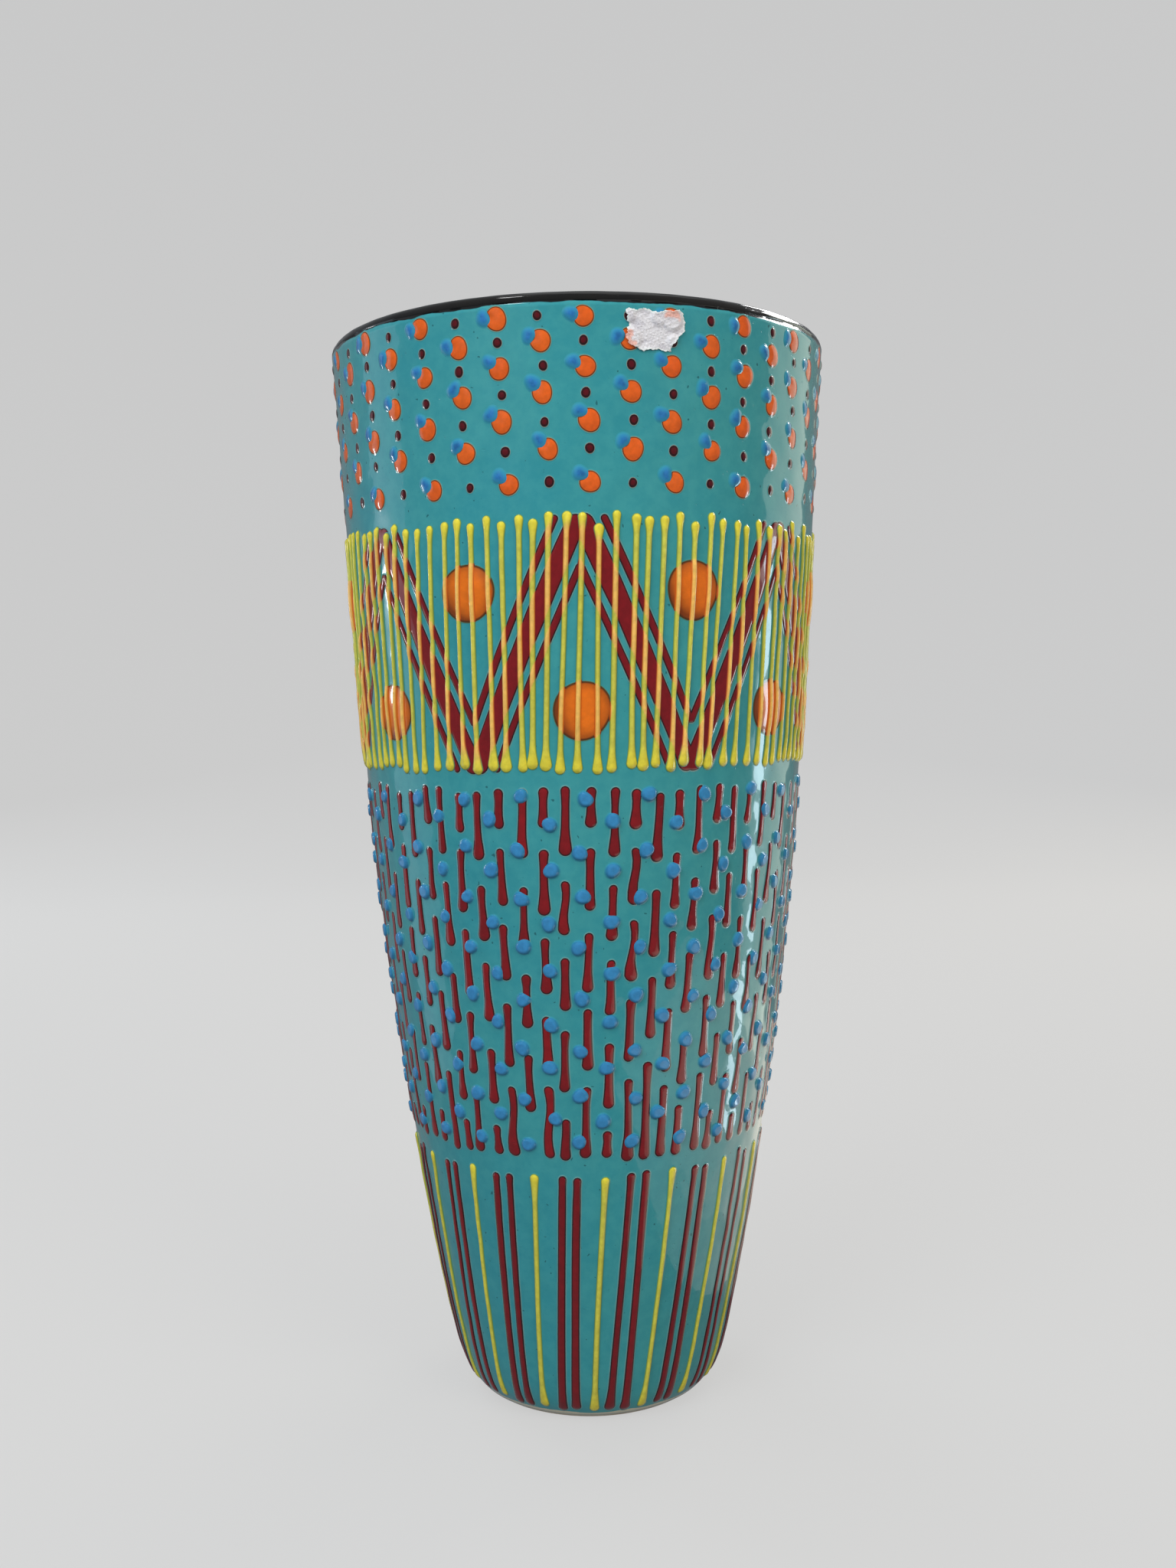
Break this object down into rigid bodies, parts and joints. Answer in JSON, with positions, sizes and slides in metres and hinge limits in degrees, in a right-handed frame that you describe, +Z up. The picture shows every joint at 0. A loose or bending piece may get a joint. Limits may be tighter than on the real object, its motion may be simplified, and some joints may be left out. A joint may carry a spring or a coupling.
{
  "type": "vase",
  "caption": "Tall tapered pottery vase with a turned foot, a wide open rim, glossy glaze and bands of raised trailed decoration.",
  "frame": {"origin": "centre of the foot ring's flat underside, on the surface the vase stands on", "axes": "+Z up along the vase's axis; -Y is the front, the side with the paper label; +X is to the right of someone facing the front"},
  "size_m": [0.1774, 0.1774, 0.38],
  "materials": {
    "clay": "matte",
    "turquoise_glaze": "gloss",
    "black_glaze": "gloss",
    "red_relief": "gloss",
    "orange_relief": "gloss",
    "yellow_relief": "gloss",
    "blue_relief": "gloss",
    "label_paper": "matte"
  },
  "bodies": {
    "root": {"clay_body": "clay", "outer_glaze": "turquoise_glaze", "inner_glaze": "black_glaze", "price_label": "label_paper", "zigzag_ribbon_1": "red_relief", "valley_stroke_1": "red_relief", "peak_stroke_1": "red_relief", "upper_disc_1": "orange_relief", "lower_disc_1": "orange_relief", "zigzag_ribbon_2": "red_relief", "valley_stroke_2": "red_relief", "peak_stroke_2": "red_relief", "upper_disc_2": "orange_relief", "lower_disc_2": "orange_relief", "zigzag_ribbon_3": "red_relief", "valley_stroke_3": "red_relief", "peak_stroke_3": "red_relief", "upper_disc_3": "orange_relief", "lower_disc_3": "orange_relief", "zigzag_ribbon_4": "red_relief", "valley_stroke_4": "red_relief", "peak_stroke_4": "red_relief", "upper_disc_4": "orange_relief", "lower_disc_4": "orange_relief", "zigzag_ribbon_5": "red_relief", "valley_stroke_5": "red_relief", "peak_stroke_5": "red_relief", "upper_disc_5": "orange_relief", "lower_disc_5": "orange_relief", "zigzag_ribbon_6": "red_relief", "valley_stroke_6": "red_relief", "peak_stroke_6": "red_relief", "upper_disc_6": "orange_relief", "lower_disc_6": "orange_relief", "zigzag_ribbon_7": "red_relief", "valley_stroke_7": "red_relief", "peak_stroke_7": "red_relief", "upper_disc_7": "orange_relief", "lower_disc_7": "orange_relief", "foot_trail_01": "yellow_relief", "foot_trail_02": "yellow_relief", "foot_trail_03": "yellow_relief", "foot_trail_04": "yellow_relief", "foot_trail_05": "yellow_relief", "foot_trail_06": "yellow_relief", "foot_trail_07": "yellow_relief", "foot_trail_08": "yellow_relief", "foot_trail_09": "yellow_relief", "foot_trail_10": "yellow_relief", "foot_trail_11": "yellow_relief", "foot_trail_12": "yellow_relief", "foot_trail_13": "yellow_relief", "foot_trail_14": "yellow_relief", "foot_trail_15": "yellow_relief", "foot_trail_16": "yellow_relief", "foot_trail_17": "yellow_relief"}
  },
  "joints": []
}
